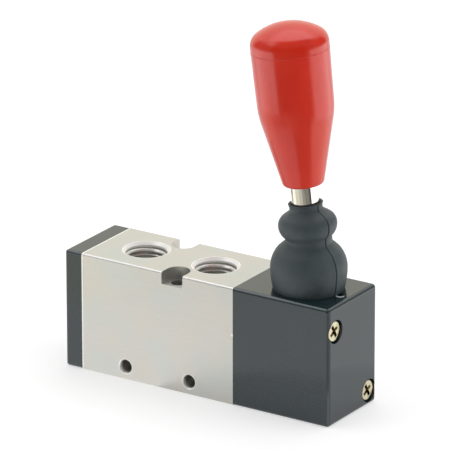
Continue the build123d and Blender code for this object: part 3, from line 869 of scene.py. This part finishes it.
shoulder_foot = (
    SHOULDER_RADIUS - shoulder_run * sin(cone_angle),
    foot_height + SHOULDER_HEIGHT - shoulder_run * cos(cone_angle),
)
shoulder_centre = (
    shoulder_foot[0] - SHOULDER_ROUND * cos(cone_angle),
    shoulder_foot[1] + SHOULDER_ROUND * sin(cone_angle),
)
crown_degrees = degrees(atan(crown_offset / (TOP_RADIUS - EDGE_RADIUS)))
line_top = dome_start - LINE_DROP
line_radius = TOP_RADIUS - LINE_DROP * tan(drum_angle)
cone_degrees = degrees(cone_angle)
drum_degrees = degrees(drum_angle)
grip_outline = [(0.0, foot_height), (GRIP_FLAT, foot_height)]
grip_outline += arc(foot_centre, FOOT_ROUND, -90, -cone_degrees, 10)
grip_outline += arc(shoulder_centre, SHOULDER_ROUND, -cone_degrees, -drum_degrees, 12)
grip_outline += [
    (line_radius, line_top - LINE_WIDTH),
    (line_radius + LINE_HEIGHT, line_top - LINE_WIDTH * 0.65),
    (line_radius + LINE_HEIGHT, line_top - LINE_WIDTH * 0.35),
    (line_radius, line_top),
]
grip_outline += arc((TOP_RADIUS - EDGE_RADIUS, dome_start), EDGE_RADIUS, 0, crown_degrees, 16)
grip_outline += arc((0, dome_start - crown_offset), CROWN_RADIUS, crown_degrees, 89, 20)[1:]
grip_outline += [(0.0, dome_start - crown_offset + CROWN_RADIUS)]
grip = turned_piece("moulded_grip", grip_outline, lever_place, 144, red_plastic())
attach(grip, "lever")
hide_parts("handle_grip")


# ---------------------------------------------------------------------------
# Rubber boot: moulded in two bulges, its foot in the carrier's groove and its collar round the rod.
# Soft dark rubber with a mould seam down its side, and it is bent at its neck to follow the leaning lever.

def boot_rubber():
    shade = finish_named("boot_rubber")
    bloom = shade.noise(shade.place(), 160.0, 4.0, 0.6)
    grain = shade.noise(shade.place(), 1500.0, 3.0)
    tone = bloom * 0.7 + grain * 0.3
    colour = shade.ramp(tone, (0.3, (0.040, 0.057, 0.063)), (0.7, (0.060, 0.079, 0.085)))
    rough = shade.level(bloom, 0.3, 0.7, 0.50, 0.66)
    return shade.surface(Base_Color=colour, Roughness=rough, Normal=shade.bump(grain, 0.2, 0.00004))


BOOT_WALL = 1.3 * MM
SEAM_TURN = -13.0
SEAM_WIDTH = 0.28 * MM
SEAM_DEPTH = 0.30 * MM
LIP_WIDTH = 0.9 * MM
LIP_HEIGHT = 0.10 * MM
LIP_FROM_SEAM = 0.55 * MM
NECK_HEIGHT = 16.6 * MM
NECK_RISE = 0.47 * MM
COLLAR_FOOT = NECK_HEIGHT + 9.3 * MM
COLLAR_LENGTH = 2.4 * MM
COLLAR_GAP = 0.06 * MM
BEND_RADIUS = 8.0 * MM
STILL_LENGTH = 5.0 * MM
carrier_low, carrier_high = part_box("pivot_carrier")
boot_x = (carrier_low.x + carrier_high.x) / 2


def tangent_arc(start, end, upward, count):
    """Arc from start, where it runs straight up or down, to end."""
    across = end[0] - start[0]
    rise = end[1] - start[1]
    radius = (across**2 + rise**2) / (2 * across)
    full = atan(abs(rise) / abs(radius - across)) if abs(across) < abs(radius) else pi / 2
    points = []
    for step in range(1, count + 1):
        turn = full * (step / count)
        points.append((start[0] + radius * (1 - cos(turn)), start[1] + upward * abs(radius) * sin(turn)))
    return points


def boot_points(wall):
    """Outline of one skin of the boot, set in by this wall, as (radius, distance along its centre line)."""
    slant = wall / sqrt(2)
    foot = 11.42 * MM - wall
    bulge = (12.3 * MM - wall, 6.9 * MM)
    shoulder = (10.05 * MM - slant, 13.1 * MM - slant)
    neck = (7.4 * MM - wall, 16.13 * MM)
    neck_end = (neck[0], NECK_HEIGHT + NECK_RISE)
    flank = (8.05 * MM - slant, 14.9 * MM - slant)
    upper = (9.4 * MM - wall, NECK_HEIGHT + 4.6 * MM)
    upper_flank = (7.6 * MM - slant, NECK_HEIGHT + 7.9 * MM - slant)
    collar_radius = ROD_RADIUS + COLLAR_GAP if wall > 0 else 5.4 * MM
    points = list(reversed(tangent_arc(bulge, (foot, 0.0), -1, 10))) + [bulge]
    points += tangent_arc(bulge, shoulder, 1, 10)
    points += list(reversed(tangent_arc(neck, flank, -1, 6))) + [neck, neck_end]
    points += list(reversed(tangent_arc(upper, neck_end, -1, 9)))[1:] + [upper]
    points += tangent_arc(upper, upper_flank, 1, 9)
    points += [(collar_radius, COLLAR_FOOT - wall)]
    return points


def collar_points():
    """The collar's outside, its flared lip and its inside, down to the inner skin."""
    top = COLLAR_FOOT + COLLAR_LENGTH
    return [
        (5.30 * MM, COLLAR_FOOT + 0.25 * MM),
        (5.28 * MM, COLLAR_FOOT + 1.1 * MM),
        (5.42 * MM, top - 0.55 * MM),
        (5.62 * MM, top - 0.15 * MM),
        (5.50 * MM, top + 0.02 * MM),
        (5.05 * MM, top - 0.05 * MM),
        (4.72 * MM, top - 0.45 * MM),
        (ROD_RADIUS + COLLAR_GAP, top - 1.0 * MM),
    ]


def boot_centre(run):
    """Place and direction of the boot's centre line at this distance along it."""
    foot = Vector((boot_x, 0, block_top))
    bend_length = BEND_RADIUS * lever_tilt
    bend_start = NECK_HEIGHT - BEND_RADIUS * tan(lever_tilt / 2)
    straight = min(run, bend_start)
    turn = min(max(run - bend_start, 0.0) / bend_length, 1.0) * lever_tilt
    beyond = max(run - bend_start - bend_length, 0.0)
    place = foot + Vector((0, 0, straight))
    place += Vector((-BEND_RADIUS * (1 - cos(turn)), 0, BEND_RADIUS * sin(turn)))
    up = Vector((-sin(turn), 0, cos(turn)))
    return place + up * beyond, up


def seam_relief(turn, radius):
    """How far the skin stands out at this angle from the seam: a groove between two soft lips."""
    off = abs(turn) * radius
    groove = -SEAM_DEPTH * max(0.0, 1 - (off / SEAM_WIDTH) ** 2)
    lip = LIP_HEIGHT * max(0.0, 1 - ((off - LIP_FROM_SEAM) / LIP_WIDTH) ** 2)
    return groove + (lip if off > SEAM_WIDTH else 0.0)


def seam_turns(count):
    """Angles round the boot from its seam, close together beside it."""
    near = [0.0, 0.006, 0.012, 0.02, 0.03, 0.042, 0.056, 0.075, 0.1, 0.13]
    rest = [near[-1] + (pi - near[-1]) * step / count for step in range(1, count + 1)]
    half = near + rest
    return [-turn for turn in reversed(half[1:-1])] + half


def boot_mesh():
    """Rings of both skins round the bent centre line; the collar joins them at the top, the foot below."""
    outer = boot_points(0.0)
    lip = collar_points()
    inner = list(reversed(boot_points(BOOT_WALL)))
    outline = [(point, True) for point in outer + lip[:3]]
    outline += [(point, False) for point in lip[3:] + inner]
    turns = seam_turns(56)
    start = radians(SEAM_TURN)
    shape = bmesh.new()
    rings = []
    for (radius, run), seamed in outline:
        centre, up = boot_centre(run)
        side = Vector((up.z, 0, -up.x))
        ring = []
        for turn in turns:
            out = radius + (seam_relief(turn, radius) if seamed else 0.0)
            angle = start + turn
            ring.append(shape.verts.new(centre + side * out * cos(angle) + Vector((0, out * sin(angle), 0))))
        rings.append(ring)
    for lower, upper in zip(rings, rings[1:] + rings[:1]):
        for step in range(len(turns)):
            after = (step + 1) % len(turns)
            shape.faces.new((lower[step], lower[after], upper[after], upper[step]))
    return finished_mesh("bellows_boot", shape, boot_rubber())


boot = smooth(new_object("bellows_boot", boot_mesh()), 50)
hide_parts("rubber_boot")
bend_from, _ = boot_centre(STILL_LENGTH)
bend_to, _ = boot_centre(COLLAR_FOOT)
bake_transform(boot)


# ---------------------------------------------------------------------------
# Studio: a white floor and backdrop, large soft lamps at both sides and above,
# cards that only gloss sees, and the camera well back from the valve.

def is_seen(shade):
    """1 for what the camera sees, straight or in a gloss or through glass."""
    path = shade.node("ShaderNodeLightPath").socket.node
    rays = ("Is Camera Ray", "Is Glossy Ray", "Is Transmission Ray")
    camera_ray, glossy_ray, glass_ray = (Wire(shade, path.outputs[ray]) for ray in rays)
    return (camera_ray + glossy_ray + glass_ray).least(1.0)


def white_floor():
    """White, and where it is seen, part of its tone glows so that the shadow stays soft and pale."""
    shade = finish_named("white_floor")
    plain = shade.node("ShaderNodeBsdfDiffuse", values={"Color": (0.9, 0.9, 0.9)})
    shadow = shade.node("ShaderNodeBsdfDiffuse", values={"Color": (0.64, 0.64, 0.64)})
    glow = shade.node("ShaderNodeEmission", values={"Color": (1.0, 1.0, 1.0), "Strength": 0.49})
    seen = shade.node("ShaderNodeAddShader", values={0: shadow, 1: glow})
    return shade.finish(shade.node("ShaderNodeMixShader", values={0: is_seen(shade), 1: plain, 2: seen}))


FLOOR_SIZE = 6.0
floor_mesh = bpy.data.meshes.new("floor")
corners = [(x, y, 0) for x, y in ((-1, -1), (1, -1), (1, 1), (-1, 1))]
floor_mesh.from_pydata([Vector(corner) * FLOOR_SIZE for corner in corners], [], [(0, 1, 2, 3)])
floor_mesh.materials.append(white_floor())
new_object("floor", floor_mesh)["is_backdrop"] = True

world = bpy.data.worlds.new("studio")
bpy.context.scene.world = world
backdrop = Shader(world)
dim = backdrop.node("ShaderNodeBackground", values={"Color": (1.0, 1.0, 1.0), "Strength": 0.45})
white = backdrop.node("ShaderNodeBackground", values={"Color": (1.0, 1.0, 1.0), "Strength": 1.0})
backdrop.finish(backdrop.node("ShaderNodeMixShader", values={0: is_seen(backdrop), 1: dim, 2: white}))

CAMERA_AZIMUTH = radians(33.111)
CAMERA_HEIGHT = radians(20.279)
CAMERA_ROLL = radians(-0.078)
CAMERA_DISTANCE = 1.88694
CAMERA_LENS = 470.7
CAMERA_AIM = Vector((-0.25, -1.25, 0)) * MM
CAMERA_SHIFT = 2.656 * MM
CAMERA_LIFT = 32.26 * MM
level_back = Vector((sin(CAMERA_AZIMUTH), -cos(CAMERA_AZIMUTH), 0))
back = level_back * cos(CAMERA_HEIGHT) + Vector((0, 0, sin(CAMERA_HEIGHT)))
right = Vector((cos(CAMERA_AZIMUTH), sin(CAMERA_AZIMUTH), 0))
up = back.cross(right)
block_centre = CAMERA_AIM + Vector((0, 0, block_top / 2))
camera_data = bpy.data.cameras.new("camera")
camera_data.lens = CAMERA_LENS
camera_data.sensor_width = 36.0
camera_data.clip_start = 0.1
camera_data.clip_end = 50.0
camera = new_object("camera", camera_data)
facing = Matrix((right, up, back)).transposed().to_4x4()
place = block_centre + right * CAMERA_SHIFT + up * CAMERA_LIFT + back * CAMERA_DISTANCE
camera.matrix_world = Matrix.Translation(place) @ facing @ Matrix.Rotation(CAMERA_ROLL, 4, "Z")
bpy.context.scene.camera = camera


def glow(name, colour, tone):
    shade = finish_named(name)
    return shade.finish(shade.node("ShaderNodeEmission", values={"Color": colour, "Strength": tone}))


def card(name, inner, outer, first, last, colour, tone):
    """A curved card round the lever that only gloss sees, from the inner to the outer (distance, height)
    and between two angles from the camera's direction, to its right."""
    count = 24
    turns = [CAMERA_AZIMUTH + radians(first + (last - first) * step / count) for step in range(count + 1)]
    points = []
    for distance, height in (inner, outer):
        points += [(boot_x + distance * sin(turn), -distance * cos(turn), height) for turn in turns]
    faces = [(step, step + 1, step + count + 2, step + count + 1) for step in range(count)]
    mesh = bpy.data.meshes.new(name)
    mesh.from_pydata(points, [], faces)
    mesh.materials.append(glow(name, colour, tone))
    piece = new_object(name, mesh)
    piece.visible_camera = False
    piece.visible_diffuse = False
    piece.visible_transmission = False
    piece.visible_shadow = False
    piece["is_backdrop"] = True


ON_FLOOR, ON_TABLE = 0.3 * MM, 0.6 * MM
NEAR, MIDDLE, FAR = 0.05, 0.13, 0.235
WALL, WALL_TOP, SOFTBOX_HEIGHT = 1.5, 1.1, 1.08
WHITE = (1.0, 1.0, 1.0)
WARM = (1.0, 0.98, 0.86)
card("near_left", (NEAR, ON_FLOOR), (MIDDLE, ON_FLOOR), -125, -12, WHITE, 1.3)
card("near_front", (NEAR, ON_FLOOR), (MIDDLE, ON_FLOOR), -12, 46, WARM, 0.36)
card("near_right", (NEAR, ON_FLOOR), (MIDDLE, ON_FLOOR), 46, 160, WHITE, 1.2)
TABLE_CARDS = (
    (-125, -80, 0.235, 1.3),
    (-80, -45, 0.26, 0.8),
    (-45, -18, 0.30, 0.62),
    (-18, 4, 0.34, 0.38),
    (4, 36, 0.42, 0.26),
    (36, 46, 0.46, 0.13),
    (46, 125, 0.235, 1.6),
)
for first, last, edge, tone in TABLE_CARDS:
    card("table", (MIDDLE, ON_TABLE), (edge, ON_TABLE), first, last, WARM, tone)
card("far_left", (FAR, ON_FLOOR), (WALL, ON_FLOOR), -120, -50, WHITE, 2.2)
card("far_front", (FAR, ON_FLOOR), (WALL, ON_FLOOR), -50, 56, WHITE, 0.08)
card("far_right", (FAR, ON_FLOOR), (WALL, ON_FLOOR), 56, 130, WHITE, 2.3)
card("left_wall", (WALL, 0), (WALL, WALL_TOP), -130, -60, WHITE, 0.22)
card("front_wall", (WALL, 0), (WALL, WALL_TOP), -60, 60, WHITE, 0.06)
card("right_wall", (WALL, 0), (WALL, WALL_TOP), 60, 130, WHITE, 0.18)
card("back_wall", (WALL, 0), (WALL, WALL_TOP), 130, 230, WARM, 1.1)
card("ceiling", (0, WALL_TOP), (WALL, WALL_TOP), 0, 360, WHITE, 0.3)
card("top_softbox", (0.05, SOFTBOX_HEIGHT), (0.85, SOFTBOX_HEIGHT), 110, 250, WHITE, 2.3)
card("top_edge", (0.85, SOFTBOX_HEIGHT), (WALL, SOFTBOX_HEIGHT), 110, 250, WHITE, 1.2)
card("left_softbox", (0.60, SOFTBOX_HEIGHT), (1.15, SOFTBOX_HEIGHT), -105, -70, WHITE, 2.0)


def soft_lamp(name, azimuth, elevation, width, height, brightness):
    """A white lamp of this radiance that faces the valve; azimuth 0 is the near side, 90 the lever's end."""
    lamp = bpy.data.lights.new(name, "AREA")
    lamp.shape = "RECTANGLE"
    lamp.size = width
    lamp.size_y = height
    lamp.energy = brightness * pi * width * height
    holder = new_object(name, lamp)
    turn, rise = radians(azimuth), radians(elevation)
    away = Vector((sin(turn) * cos(rise), -cos(turn) * cos(rise), sin(rise)))
    holder.location = LAMP_AIM + away * LAMP_DISTANCE
    holder.rotation_mode = "QUATERNION"
    holder.rotation_quaternion = away.to_track_quat("Z", "Y")
    holder.visible_glossy = False


LAMP_AIM = Vector((0.01, 0, 0.05))
LAMP_DISTANCE = 1.0
soft_lamp("left_lamp", -55, 25, 1.0, 1.2, 1.0)
soft_lamp("right_lamp", 105, 25, 0.9, 1.2, 1.05)
soft_lamp("top_lamp", 190, 65, 1.0, 1.0, 1.3)

low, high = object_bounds()

bpy.context.scene.view_settings.view_transform = "Standard"
